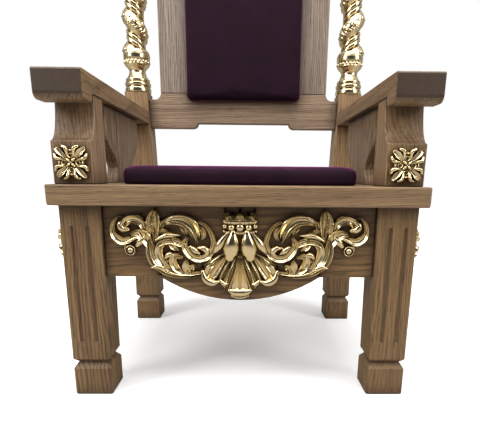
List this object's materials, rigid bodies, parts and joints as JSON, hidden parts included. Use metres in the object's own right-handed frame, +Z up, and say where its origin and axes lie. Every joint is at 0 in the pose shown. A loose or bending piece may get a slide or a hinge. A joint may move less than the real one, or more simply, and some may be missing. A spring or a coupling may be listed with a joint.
{
  "type": "bishop chair",
  "caption": "Oak throne with flat arms, square grooved legs, twisted gilt columns, a gilt acanthus relief on the front apron and dark velvet seat and back cushions.",
  "frame": {"origin": "middle of the chair's box, on the floor under it", "axes": "+Z up, the seat faces -Y, +X to the right seen from the front"},
  "size_m": [0.753, 0.58, 1.385],
  "materials": {
    "oak": "stained oak under satin wax, open grain",
    "gilding": "carved wood, burnished gold all over",
    "velvet": "dark aubergine velvet"
  },
  "bodies": {
    "root": {"front_leg_left": "oak", "front_leg_right": "oak", "back_leg_left": "oak", "back_leg_right": "oak", "front_apron": "oak", "back_apron": "oak", "side_apron_left": "oak", "side_apron_right": "oak", "seat_board": "oak", "arm_post_left": "oak", "arm_post_right": "oak", "arm_left": "oak", "arm_right": "oak", "side_splat_left": "oak", "side_splat_right": "oak", "back_rail": "oak", "back_stile_left": "oak", "back_stile_right": "oak", "back_panel": "oak", "crest_rail": "oak", "column_left": "gilding", "column_right": "gilding", "post_rosette_left": "gilding", "post_rosette_right": "gilding", "leg_rosette_left": "gilding", "leg_rosette_right": "gilding", "apron_ornament": "gilding", "seat_cushion": "velvet", "back_cushion": "velvet"}
  },
  "joints": []
}
